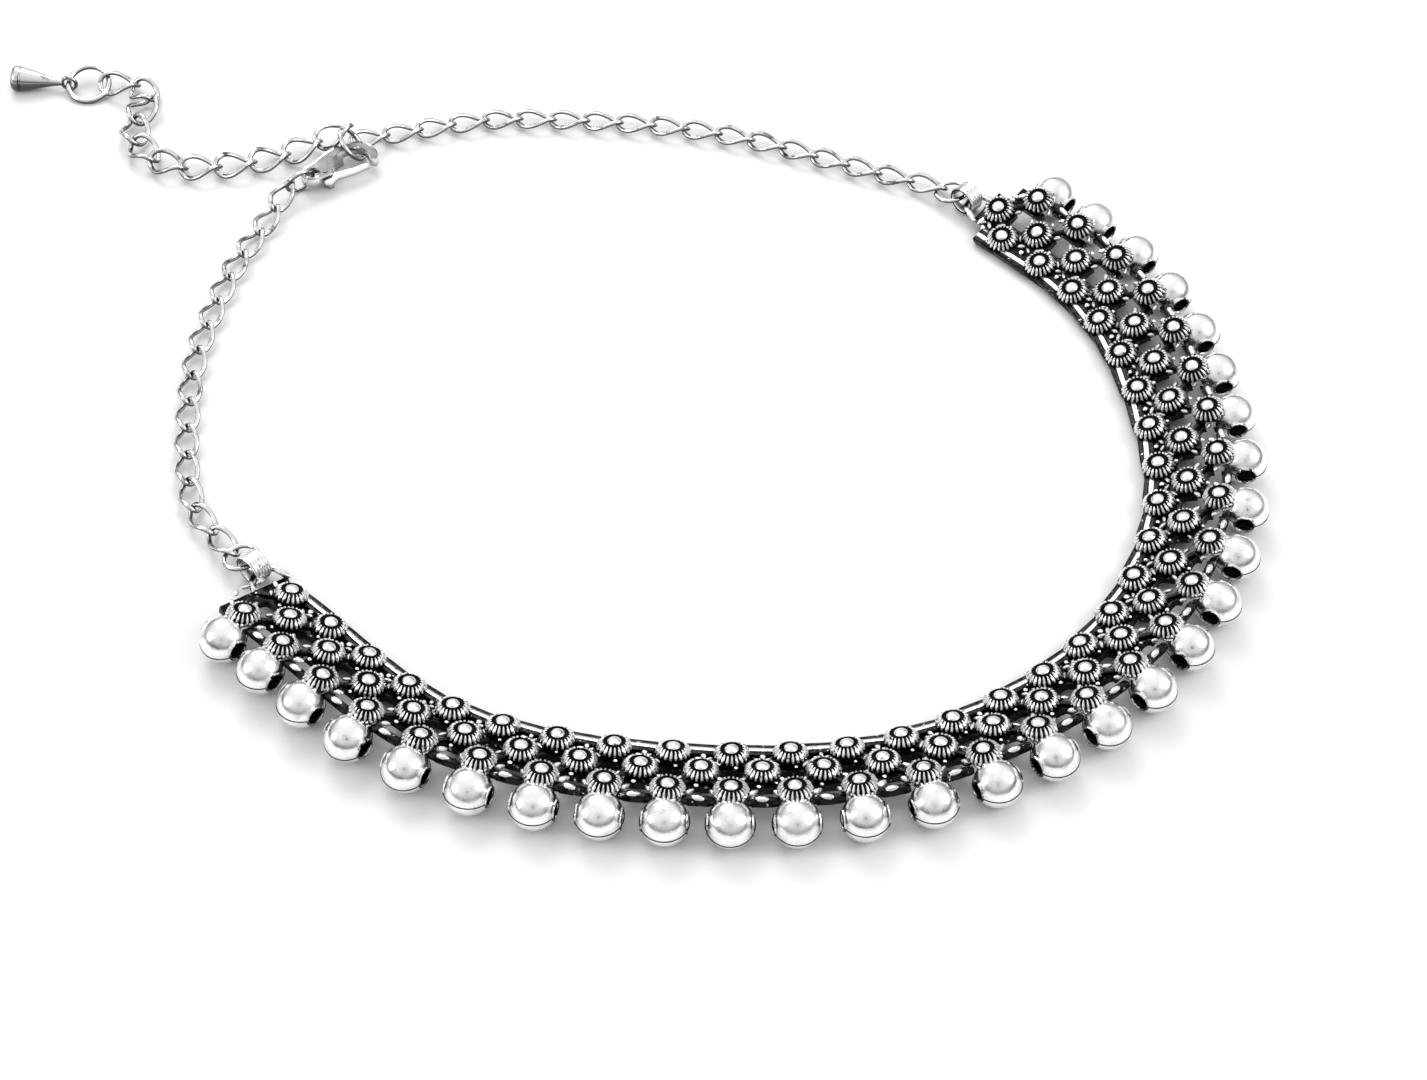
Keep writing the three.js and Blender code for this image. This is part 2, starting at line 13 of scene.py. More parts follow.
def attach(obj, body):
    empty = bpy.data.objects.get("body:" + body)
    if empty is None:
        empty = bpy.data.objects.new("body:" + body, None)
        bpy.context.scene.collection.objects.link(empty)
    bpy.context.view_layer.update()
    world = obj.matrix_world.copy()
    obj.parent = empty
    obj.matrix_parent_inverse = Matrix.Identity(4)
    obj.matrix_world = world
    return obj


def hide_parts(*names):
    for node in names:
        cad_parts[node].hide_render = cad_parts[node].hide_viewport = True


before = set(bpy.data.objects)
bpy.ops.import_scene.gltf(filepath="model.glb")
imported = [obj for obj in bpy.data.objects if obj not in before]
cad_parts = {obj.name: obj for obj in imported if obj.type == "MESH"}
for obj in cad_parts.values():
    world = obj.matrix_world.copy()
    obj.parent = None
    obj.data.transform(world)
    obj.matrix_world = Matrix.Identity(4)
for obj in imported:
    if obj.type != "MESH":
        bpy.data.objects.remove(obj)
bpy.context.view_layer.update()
mm = 0.001
up = Vector((0, 0, 1))
print("frame loaded")

# camera, where the photograph was taken from
view = {"place": (15.6, -270.5, 282.7), "below": 48.5, "lens": 75.9, "sensor": 36}
cameraData = bpy.data.cameras.new("camera")
cameraData.lens = view["lens"]
cameraData.sensor_width = view["sensor"]
cameraData.clip_start = 0.01
camera = bpy.data.objects.new("camera", cameraData)
camera.location = Vector(view["place"]) * mm
camera.rotation_euler = (math.radians(90 - view["below"]), 0, 0)
bpy.context.collection.objects.link(camera)
bpy.context.scene.camera = camera
print("camera set")

# soft studio: a bright sky that darkens towards the horizon, with the dark of a lens and the
# room round it fixed where the photograph was taken from
sky = {
    "levels": [(0.0, 0.05), (0.12, 0.2), (0.3, 0.58), (0.52, 0.94), (0.75, 1.08), (1.0, 1.14)],
    "strength": 0.82, "lensWidth": 0.995, "lensBlur": 0.003, "lensDark": 0.25,
    "roomWidth": 0.86, "roomEdge": 0.98, "roomDark": 0.78,
}
lamps = [
    {"name": "backSoftbox", "place": (-120, 420, 420), "size": 380, "power": 1.5},
    {"name": "sideSoftbox", "place": (420, -60, 300), "size": 260, "power": 0.7},
    {"name": "leftStrip", "place": (-430, -120, 200), "size": 160, "power": 0.4},
]


def makeStudio():
    world = bpy.data.worlds.new("studio")
    bpy.context.scene.world = world
    world.use_nodes = True
    nodes, links = world.node_tree.nodes, world.node_tree.links
    background = nodes["Background"]
    direction = nodes.new("ShaderNodeTexCoord")
    height = nodes.new("ShaderNodeSeparateXYZ")
    ramp = nodes.new("ShaderNodeValToRGB")
    links.new(direction.outputs["Generated"], height.inputs[0])
    links.new(height.outputs["Z"], ramp.inputs["Fac"])
    points = ramp.color_ramp.elements
    for i, (place, level) in enumerate(sky["levels"]):
        point = points[i] if i < 2 else points.new(place)
        point.position = place
        point.color = (level, level, level * 1.01, 1)
    towards = nodes.new("ShaderNodeVectorMath")
    towards.operation = "DOT_PRODUCT"
    towards.inputs[1].default_value = -(camera.rotation_euler.to_matrix() @ Vector((0, 0, -1)))
    lens = nodes.new("ShaderNodeMapRange")
    lens.inputs["From Min"].default_value = sky["lensWidth"] - sky["lensBlur"]
    lens.inputs["From Max"].default_value = sky["lensWidth"]
    lens.inputs["To Min"].default_value = sky["strength"]
    lens.inputs["To Max"].default_value = sky["strength"] * sky["lensDark"]
    room = nodes.new("ShaderNodeMapRange")
    room.interpolation_type = "SMOOTHSTEP"
    room.inputs["From Min"].default_value = sky["roomWidth"]
    room.inputs["From Max"].default_value = sky["roomEdge"]
    room.inputs["To Max"].default_value = sky["roomDark"]
    room.inputs["To Min"].default_value = 1
    both = nodes.new("ShaderNodeMath")
    both.operation = "MULTIPLY"
    links.new(direction.outputs["Generated"], towards.inputs[0])
    links.new(towards.outputs["Value"], lens.inputs["Value"])
    links.new(towards.outputs["Value"], room.inputs["Value"])
    links.new(lens.outputs["Result"], both.inputs[0])
    links.new(room.outputs["Result"], both.inputs[1])
    links.new(both.outputs[0], background.inputs["Strength"])
    links.new(ramp.outputs["Color"], background.inputs["Color"])
    for lamp in lamps:
        data = bpy.data.lights.new(lamp["name"], "AREA")
        data.size = lamp["size"] * mm
        data.energy = lamp["power"]
        ob = bpy.data.objects.new(lamp["name"], data)
        ob.location = Vector(lamp["place"]) * mm
        ob.rotation_euler = (-ob.location).to_track_quat("-Z", "Y").to_euler()
        bpy.context.collection.objects.link(ob)
    bpy.context.scene.view_settings.view_transform = "Standard"


makeStudio()
print("studio lit")


# effects that several materials share
def newGroup(name, inputs, outputs):
    group = bpy.data.node_groups.new(name, "ShaderNodeTree")
    for label, value in inputs.items():
        socket = group.interface.new_socket(label, in_out="INPUT", socket_type="NodeSocketFloat")
        socket.default_value = value
    for label in outputs:
        group.interface.new_socket(label, in_out="OUTPUT", socket_type="NodeSocketFloat")
    return group, group.nodes.new("NodeGroupInput"), group.nodes.new("NodeGroupOutput")


def makeTarnishAndPaintedShade():
    # dark oxide in cloudy patches, and painted shade on sides that don't face up, 0 clean to 1 dark
    values = {"Scale": 600, "From": 0.5, "To": 0.7, "Side": -1.2, "Top": -1.1}
    group, given, result = newGroup("tarnishAndPaintedShade", values, ["Mask"])
    place = group.nodes.new("ShaderNodeTexCoord")
    facing = group.nodes.new("ShaderNodeSeparateXYZ")
    # painted shade: the less a face points up, the darker it is painted
    paintedSideShade = group.nodes.new("ShaderNodeMapRange")
    paintedSideShade.interpolation_type = "SMOOTHSTEP"
    paintedSideShade.inputs["To Min"].default_value = 1
    paintedSideShade.inputs["To Max"].default_value = 0
    either = group.nodes.new("ShaderNodeMath")
    either.operation = "MAXIMUM"
    noise = group.nodes.new("ShaderNodeTexNoise")
    noise.inputs["Detail"].default_value = 6
    noise.inputs["Roughness"].default_value = 0.62
    spread = group.nodes.new("ShaderNodeMapRange")
    spread.interpolation_type = "SMOOTHSTEP"
    link = group.links.new
    link(place.outputs["Object"], noise.inputs["Vector"])
    link(given.outputs["Scale"], noise.inputs["Scale"])
    link(noise.outputs["Fac"], spread.inputs["Value"])
    link(given.outputs["From"], spread.inputs["From Min"])
    link(given.outputs["To"], spread.inputs["From Max"])
    link(place.outputs["Normal"], facing.inputs[0])
    link(facing.outputs["Z"], paintedSideShade.inputs["Value"])
    link(given.outputs["Side"], paintedSideShade.inputs["From Min"])
    link(given.outputs["Top"], paintedSideShade.inputs["From Max"])
    link(spread.outputs["Result"], either.inputs[0])
    link(paintedSideShade.outputs["Result"], either.inputs[1])
    link(either.outputs[0], result.inputs["Mask"])
    return group


def makeScuffs():
    # fine hair scratches that cross each other, and small pits
    group, given, result = newGroup("scuffs", {"Scale": 900, "Pits": 0.4}, ["Height", "Dull"])
    link = group.links.new
    place = group.nodes.new("ShaderNodeTexCoord")
    hairs = []
    for angle, stretch in ((0.5, (1, 0.06, 1)), (2.1, (0.07, 1, 0.8))):
        turn = group.nodes.new("ShaderNodeMapping")
        turn.inputs["Rotation"].default_value = (angle, 0.3, angle)
        turn.inputs["Scale"].default_value = stretch
        noise = group.nodes.new("ShaderNodeTexNoise")
        noise.inputs["Detail"].default_value = 3
        link(place.outputs["Object"], turn.inputs["Vector"])
        link(turn.outputs["Vector"], noise.inputs["Vector"])
        link(given.outputs["Scale"], noise.inputs["Scale"])
        hairs.append(noise.outputs["Fac"])
    crossed = group.nodes.new("ShaderNodeMath")
    crossed.operation = "MINIMUM"
    link(hairs[0], crossed.inputs[0])
    link(hairs[1], crossed.inputs[1])
    pits = group.nodes.new("ShaderNodeTexVoronoi")
    link(place.outputs["Object"], pits.inputs["Vector"])
    link(given.outputs["Scale"], pits.inputs["Scale"])
    pit = group.nodes.new("ShaderNodeMath")
    pit.operation = "MULTIPLY"
    link(pits.outputs["Distance"], pit.inputs[0])
    link(given.outputs["Pits"], pit.inputs[1])
    height = group.nodes.new("ShaderNodeMath")
    height.operation = "ADD"
    link(crossed.outputs[0], height.inputs[0])
    link(pit.outputs[0], height.inputs[1])
    link(height.outputs[0], result.inputs["Height"])
    link(crossed.outputs[0], result.inputs["Dull"])
    return group


tarnishAndPaintedShade = makeTarnishAndPaintedShade()
scuffs = makeScuffs()


def makeMetal(name, look):
    material = bpy.data.materials.new(name)
    material.use_nodes = True
    nodes, link = material.node_tree.nodes, material.node_tree.links.new
    shader = nodes["Principled BSDF"]
    shader.inputs["Metallic"].default_value = look["metallic"]
    stainAndShade = nodes.new("ShaderNodeGroup")
    stainAndShade.node_tree = tarnishAndPaintedShade
    for label, value in zip(("Scale", "From", "To", "Side", "Top"), look["stainAndShade"]):
        stainAndShade.inputs[label].default_value = value
    marks = nodes.new("ShaderNodeGroup")
    marks.node_tree = scuffs
    for label, value in zip(("Scale", "Pits"), look["marks"]):
        marks.inputs[label].default_value = value
    # base colour goes to the stained tone under the mask: cloudy tarnish, and painted shade on sides
    # that don't face up
    colour = nodes.new("ShaderNodeMix")
    colour.data_type = "RGBA"
    colour.inputs["A"].default_value = (*look["clean"], 1)
    colour.inputs["B"].default_value = (*look["maskedTone"], 1)
    link(stainAndShade.outputs["Mask"], colour.inputs["Factor"])
    link(colour.outputs["Result"], shader.inputs["Base Color"])
    dull = nodes.new("ShaderNodeMapRange")
    dull.inputs["From Min"].default_value = 0.3
    dull.inputs["From Max"].default_value = 0.65
    dull.inputs["To Min"].default_value, dull.inputs["To Max"].default_value = look["rough"]
    link(marks.outputs["Dull"], dull.inputs["Value"])
    link(dull.outputs["Result"], shader.inputs["Roughness"])
    bump = nodes.new("ShaderNodeBump")
    bump.inputs["Strength"].default_value = look["bump"]
    bump.inputs["Distance"].default_value = look["depth"] * mm
    link(marks.outputs["Height"], bump.inputs["Height"])
    link(bump.outputs["Normal"], shader.inputs["Normal"])
    return material


# the stain values: scale, from and to of the cloudy tarnish, then the facing range of painted shade on
# sides; finishes with three values leave the sides unshaded
finishes = {
    "wornSilver": {
        "metallic": 1, "clean": (0.97, 0.96, 0.95), "maskedTone": (0.03, 0.03, 0.032),
        "stainAndShade": (1500, 0.6, 0.7, -0.4, 0.12), "marks": (1800, 0.5), "rough": (0.22, 0.42),
        "bump": 0.35, "depth": 0.05,
    },
    "blackSilver": {
        "metallic": 0.85, "clean": (0.012, 0.012, 0.013), "maskedTone": (0.75, 0.75, 0.76),
        "stainAndShade": (1250, 0.63, 0.67), "marks": (1300, 0.9), "rough": (0.16, 0.34),
        "bump": 0.8, "depth": 0.12,
    },
    "lumpySilver": {
        "metallic": 1, "clean": (0.96, 0.95, 0.94), "maskedTone": (0.03, 0.03, 0.032),
        "stainAndShade": (1000, 0.51, 0.6, -0.05, 0.4), "marks": (1100, 1.0), "rough": (0.2, 0.4),
        "bump": 0.9, "depth": 0.16,
    },
    "deepBlack": {
        "metallic": 1, "clean": (0.006, 0.006, 0.007), "maskedTone": (0.03, 0.03, 0.03),
        "stainAndShade": (1500, 0.6, 0.75), "marks": (1500, 0.6), "rough": (0.5, 0.7),
        "bump": 0.5, "depth": 0.05,
    },
    "ballSilver": {
        "metallic": 1, "clean": (0.98, 0.98, 0.98), "maskedTone": (0.62, 0.62, 0.63),
        "stainAndShade": (520, 0.52, 0.76, -0.75, -0.1), "marks": (620, 0.5), "rough": (0.17, 0.36),
        "bump": 0.4, "depth": 0.11,
    },
    "chainSilver": {
        "metallic": 1, "clean": (0.86, 0.86, 0.86), "maskedTone": (0.09, 0.09, 0.095),
        "stainAndShade": (480, 0.52, 0.7, 0.12, 0.62), "marks": (1100, 0.3), "rough": (0.12, 0.26),
        "bump": 0.25, "depth": 0.05,
    },
    "claspSilver": {
        "metallic": 1, "clean": (0.88, 0.88, 0.88), "maskedTone": (0.25, 0.25, 0.26),
        "stainAndShade": (480, 0.52, 0.68, -0.35, 0.3), "marks": (1100, 0.3), "rough": (0.14, 0.28),
        "bump": 0.25, "depth": 0.05,
    },
    "shadedSilver": {
        "metallic": 1, "clean": (0.27, 0.27, 0.275), "maskedTone": (0.14, 0.14, 0.14),
        "stainAndShade": (260, 0.35, 0.75), "marks": (1600, 0.2), "rough": (0.45, 0.6),
        "bump": 0.15, "depth": 0.04,
    },
}
metals = {name: makeMetal(name, look) for name, look in finishes.items()}
bandMetals = [metals[name] for name in ("blackSilver", "wornSilver", "deepBlack", "lumpySilver")]
dark, bright, deep, lumpy, polished = range(5)  # material slots of the band's and balls' shapes
print("metals mixed")


# shape helpers, all in millimetres
def lathe(profile, steps, slot=0):
    bm = bmesh.new()
    line = [bm.verts.new((radius, 0, height)) for radius, height in profile]
    edges = [bm.edges.new(pair) for pair in zip(line, line[1:])]
    bmesh.ops.spin(
        bm, geom=line + edges, cent=(0, 0, 0), axis=(0, 0, 1), dvec=(0, 0, 0),
        angle=2 * math.pi, steps=steps, use_merge=True, use_duplicate=False,
    )
    bmesh.ops.remove_doubles(bm, verts=bm.verts, dist=0.0005)
    bmesh.ops.recalc_face_normals(bm, faces=bm.faces)
    for face in bm.faces:
        face.material_index = slot
    return bm


def wireRing(radius, wire, sections=12, steps=48):
    bm = bmesh.new()
    bmesh.ops.create_circle(
        bm, segments=sections, radius=wire / 2,
        matrix=Matrix.Translation((radius, 0, 0)) @ Matrix.Rotation(math.pi / 2, 4, "X"),
    )
    bmesh.ops.spin(
        bm, geom=bm.verts[:] + bm.edges[:], cent=(0, 0, 0), axis=(0, 0, 1), dvec=(0, 0, 0),
        angle=2 * math.pi, steps=steps, use_merge=True, use_duplicate=False,
    )
    bmesh.ops.remove_doubles(bm, verts=bm.verts, dist=0.0005)
    bmesh.ops.recalc_face_normals(bm, faces=bm.faces)
    return bm


def template(name, bm):
    mesh = bpy.data.meshes.new(name)
    bm.to_mesh(mesh)
    bm.free()
    return mesh


def stamp(bm, shape, place, slot=None):
    moved = shape.copy()
    moved.transform(place)
    if slot is not None:
        moved.polygons.foreach_set("material_index", [slot] * len(moved.polygons))
    bm.from_mesh(moved)
    bpy.data.meshes.remove(moved)


def makePiece(name, bm, materials, nodes=(), body="necklace", sharp=40):
    bmesh.ops.transform(bm, matrix=Matrix.Scale(mm, 4), verts=bm.verts)
    mesh = template(name, bm)
    for material in materials:
        mesh.materials.append(material)
    mesh.polygons.foreach_set("use_smooth", [True] * len(mesh.polygons))
    mesh.set_sharp_from_angle(angle=math.radians(sharp))
    ob = bpy.data.objects.new(name, mesh)
    bpy.context.collection.objects.link(ob)
    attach(ob, body)
    if nodes:
        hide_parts(*nodes)
    return ob


def frameAt(point, direction, roll=0.0):
    x = Vector(direction).normalized()
    y = up.cross(x).normalized()
    z = x.cross(y)
    turn = Matrix((x, y, z)).transposed().to_4x4()
    return Matrix.Translation(point) @ turn @ Matrix.Rotation(roll, 4, "X")


def cutAway(bm, tools):
    # a shape less each tool, through the Boolean modifier
    ob = bpy.data.objects.new("blank", template("blank", bm))
    bpy.context.collection.objects.link(ob)
    for i, tool in enumerate(tools):
        cutter = bpy.data.objects.new(f"cutter{i}", template(f"cutter{i}", tool))
        bpy.context.collection.objects.link(cutter)
        cut = ob.modifiers.new("cut", "BOOLEAN")
        cut.operation, cut.solver, cut.object = "DIFFERENCE", "EXACT", cutter
        bpy.context.view_layer.update()
        shape = ob.evaluated_get(bpy.context.evaluated_depsgraph_get())
        cutMesh = bpy.data.meshes.new_from_object(shape)
        ob.modifiers.remove(cut)
        ob.data = cutMesh
        bpy.data.objects.remove(cutter)
    result = bmesh.new()
    result.from_mesh(ob.data)
    bpy.data.objects.remove(ob)
    return result


def ringPlace(node):
    # middle and face of a round ring, read from its CAD node
    points = numpy.array([v.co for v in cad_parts[node].data.vertices]) / mm
    middle = points.mean(axis=0)
    normal = numpy.linalg.svd(points - middle, full_matrices=False)[2][2]
    turn = Vector(normal).to_track_quat("Z", "Y").to_matrix().to_4x4()
    return Matrix.Translation(middle) @ turn


# routes: a smooth line through chosen points, cut into equal steps
def routePoint(points, t):
    last = len(points) - 1
    i = min(int(t * last), last - 1)
    w = t * last - i
    p1, p2 = points[i], points[i + 1]
    p0 = points[i - 1] if i > 0 else 2 * p1 - p2
    p3 = points[i + 2] if i + 2 <= last else 2 * p2 - p1
    d0, d1, d2 = ((b - a).length ** 0.5 for a, b in ((p0, p1), (p1, p2), (p2, p3)))
    m1 = ((p1 - p0) / d0 - (p2 - p0) / (d0 + d1) + (p2 - p1) / d1) * d1
    m2 = ((p2 - p1) / d1 - (p3 - p1) / (d1 + d2) + (p3 - p2) / d2) * d1
    rest = (3 * p2 - 3 * p1 - 2 * m1 - m2) * w**2 + (2 * p1 - 2 * p2 + m1 + m2) * w**3
    return p1 + m1 * w + rest


def spacedPoints(points, count, fineness=200):
    points = [Vector(p) for p in points]
    line = [routePoint(points, i / fineness) for i in range(fineness + 1)]
    reach = [0.0]
    for a, b in zip(line, line[1:]):
        reach.append(reach[-1] + (b - a).length)
    spaced = []
    for k in range(count + 1):
        goal = reach[-1] * k / count
        i = min(max(sum(r <= goal for r in reach) - 1, 0), fineness - 1)
        share = (goal - reach[i]) / (reach[i + 1] - reach[i])
        spaced.append(routePoint(points, (i + share) / fineness))
    return spaced


# the band's own line, under its middle row of rosettes
band = {
    "columns": 29, "tilt": math.radians(17), "innerEdge": -5.5, "thickness": 0.9,
    "innerRow": -3.45, "outerRow": 4.2, "seat": 0.3, "ballRow": 7.0,
    "studTop": 1.2, "studReach": 2, "footTop": 0.25,
    "lugs": [
        {"middle": (-39.21, -28.47, 1.1), "way": (-0.7147, 0.6742, 0.1859)},
        {"middle": (52.6, 39.13, 1.8), "way": (-0.7, 0.7125, 0.0488)},
    ],
    "route": [
        (-41.31, -31.4, 0), (-17.51, -52.2, 0), (10.19, -59.1, 0), (39.69, -56.8, 0),
        (63.89, -40.8, 0), (75.59, -16.3, 0), (72.79, 12.2, 0), (66.19, 25.9, 0),
        (55.19, 37.9, 0),
    ],
}
corners = spacedPoints(band["route"], band["columns"])
corners.append(2 * corners[-1] - corners[-2])
bandPitch = (corners[1] - corners[0]).length
bandLift = -band["innerEdge"] * math.sin(band["tilt"])


def bandPlace(k, along, across, height):
    # a place on the band: along from column k's middle, across outwards, height off the underside
    tangent = (corners[k + 1] - corners[k]).normalized()
    outward = tangent.cross(up)
    cos, sin = math.cos(band["tilt"]), math.sin(band["tilt"])
    face = up * cos - outward * sin
    inward = face.cross(tangent)
    middle = (corners[k] + corners[k + 1]) / 2 + tangent * along
    middle += outward * (across * cos - height * sin)
    middle.z = bandLift + across * sin + height * cos
    turn = Matrix((tangent, inward, face)).transposed().to_4x4()
    return Matrix.Translation(middle) @ turn


# rosette: a bright dome in a black well, with bright ribs that fall away outwards
rosette = {
    "ribs": 20, "ribRadius": 1.74, "ribHeight": 1.03, "ribSize": (0.64, 0.195, 0.27), "ribFall": 52,
    "ribTaper": 0.34, "dome": (0.84, 0.36), "domeHeight": 1.42,
    "core": [
        (0, 1.34), (1.16, 1.34), (1.3, 1.46), (1.7, 1.05), (1.95, 0.55), (1.8, 0.4),
        (1.5, 0.3), (1.45, 0.16), (1.72, 0), (0, 0),
    ],
}


def makeRosette():
    bm = lathe(rosette["core"], 32, deep)
    dome = bmesh.new()
    radius, rise = rosette["dome"]
    bmesh.ops.create_uvsphere(dome, u_segments=20, v_segments=8, radius=radius)
    bmesh.ops.scale(dome, vec=(1, 1, rise / radius), verts=dome.verts)
    stamp(bm, template("dome", dome), Matrix.Translation((0, 0, rosette["domeHeight"])), bright)
    rib = bmesh.new()
    bmesh.ops.create_uvsphere(rib, u_segments=6, v_segments=5, radius=1)
    bmesh.ops.rotate(rib, cent=(0, 0, 0), matrix=Matrix.Rotation(math.pi / 2, 3, "Y"), verts=rib.verts)
    for vert in rib.verts:
        vert.co.y *= 1 + rosette["ribTaper"] * vert.co.x
    bmesh.ops.scale(rib, vec=rosette["ribSize"], verts=rib.verts)
    ribShape = template("rib", rib)
    fall = Matrix.Rotation(math.radians(rosette["ribFall"]), 4, "Y")
    out = Matrix.Translation((rosette["ribRadius"], 0, rosette["ribHeight"]))
    for i in range(rosette["ribs"]):
        turn = Matrix.Rotation(2 * math.pi * i / rosette["ribs"], 4, "Z")
        stamp(bm, ribShape, turn @ out @ fall, bright)
    return template("rosette", bm)


def looseTurn(tilt):
    # any turn about its own axis, and a slight lean, as hand-soldered studs have
    lean = Matrix.Rotation(random.uniform(-tilt, tilt), 4, "X")
    lean = lean @ Matrix.Rotation(random.uniform(-tilt, tilt), 4, "Y")
    return lean @ Matrix.Rotation(random.uniform(0, math.pi), 4, "Z")


rosetteShape = makeRosette()
print("rosette cut")

# the small worn shapes between the rosettes
trim = {
    "cords": [  # along, across, turn, length, width: black cords from stud to stud
        (1.79, 2.1, -50, 4.2, 0.62), (-1.79, 2.1, 50, 4.2, 0.62), (1.79, -1.72, 44, 4.0, 1.05),
        (-1.79, -1.72, -44, 4.0, 1.05), (3.58, -4.1, 0, 4.8, 0.8), (3.58, -5.35, 0, 6.4, 0.8),
        (3.58, 4.85, 0, 4.5, 0.95),
    ],
    "pills": [  # the same for the worn bright ones
        (2.5, 3.75, -42, 1.6, 0.72), (-2.2, 3.75, 50, 1.1, 0.6), (-1.15, 1.35, 48, 1.25, 0.6),
        (1.3, 1.25, -50, 1.15, 0.55), (1.8, -1.75, -50, 1.2, 0.5), (-1.8, -1.8, 46, 1.0, 0.45),
        (3.05, -2.65, 30, 1.15, 0.55), (4.2, -2.75, -35, 1.0, 0.5),
    ],
    "rivets": [(3.6, -3.45, 0.33), (0.5, -1.15, 0.25), (3.2, 2.45, 0.28)],
    "bar": {"across": -4.72, "length": 5.2, "width": 0.66, "height": 0.6, "lift": 1.1},
    "bump": {"across": 4.98, "length": 1.8, "width": 0.8, "height": 0.75, "lift": 1.25},
    "ends": [
        (-4.6, -2.6, 80, 1.6, 0.7), (-4.7, -0.3, 100, 1.5, 0.62), (-4.4, 1.5, 60, 1.2, 0.55),
        (-3.2, 3.2, 30, 1.5, 0.65), (-3.1, -3.7, 10, 1.3, 0.6),
    ],
    "windows": [(0, 0.4, 2.7, 2.4), (3.58, 3.2, 3.7, 1.9)],  # along, across, length, width
    "windowDepth": 6, "cordHeight": 1.0, "cordLift": -0.05, "pillHeight": 0.62, "pillLift": 0.3,
    "rivetShape": 1.1, "rivetLift": 0.34, "endHeight": 0.6, "endLift": 0.05,
    "strut": {"place": (0.3, 2.05, 0.12), "splay": 0.35, "size": (3.2, 0.85, 0.8)},
}


def makePill():
    bm = bmesh.new()
    bmesh.ops.create_uvsphere(bm, u_segments=8, v_segments=6, radius=0.5)
    bmesh.ops.rotate(bm, cent=(0, 0, 0), matrix=Matrix.Rotation(math.pi / 2, 3, "Y"), verts=bm.verts)
    return template("pill", bm)


def makeBar():
    bm = bmesh.new()
    bmesh.ops.create_cube(bm, size=1)
    bmesh.ops.bevel(
        bm, geom=bm.edges[:], offset=0.2, offset_type="OFFSET", segments=2, profile=0.5,
        affect="EDGES", material=-1,
    )
    return template("bar", bm)


pillShape, barShape = makePill(), makeBar()


# band base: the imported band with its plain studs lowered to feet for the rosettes
def makeBandBase():
    bm = bmesh.new()
    bm.from_mesh(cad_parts["woven_band"].data)
    bmesh.ops.remove_doubles(bm, verts=bm.verts, dist=0.000001)
    bmesh.ops.transform(bm, matrix=Matrix.Scale(1 / mm, 4), verts=bm.verts)
    windows = bmesh.new()
    for k in range(band["columns"]):
        for along, across, length, width in trim["windows"]:
            if k < band["columns"] - 1 or along == 0:
                size = Matrix.Diagonal((length, width, trim["windowDepth"], 1))
                stamp(windows, barShape, bandPlace(k, along, across, 0) @ size)
    bm = cutAway(bm, [windows])
    studTop, footTop = (band["thickness"] + band[name] for name in ("studTop", "footTop"))
    reach = band["studReach"]
    for k in range(band["columns"]):
        for along, across in ((0, band["innerRow"]), (bandPitch / 2, 0)):
            place = bandPlace(k, along, across, 0)
            back = place.inverted()
            for vert in bm.verts:
                local = back @ vert.co
                if abs(local.x) < reach and abs(local.y) < reach and local.z > studTop:
                    vert.co = place @ Vector((local.x, local.y, footTop))
    for face in bm.faces:  # the underside is clean metal, so light spreads below the band
        face.material_index = bright if face.normal.z < -0.5 else dark
    return bm


def makeBand():
    bm = makeBandBase()
    random.seed(4)
    top = band["thickness"]
    for k in range(band["columns"]):
        for along, across in ((0, band["innerRow"]), (bandPitch / 2, 0)):
            stamp(bm, rosetteShape, bandPlace(k, along, across, top) @ looseTurn(0.07))
    makePiece("bandRosettes", bm, bandMetals, ["woven_band"])


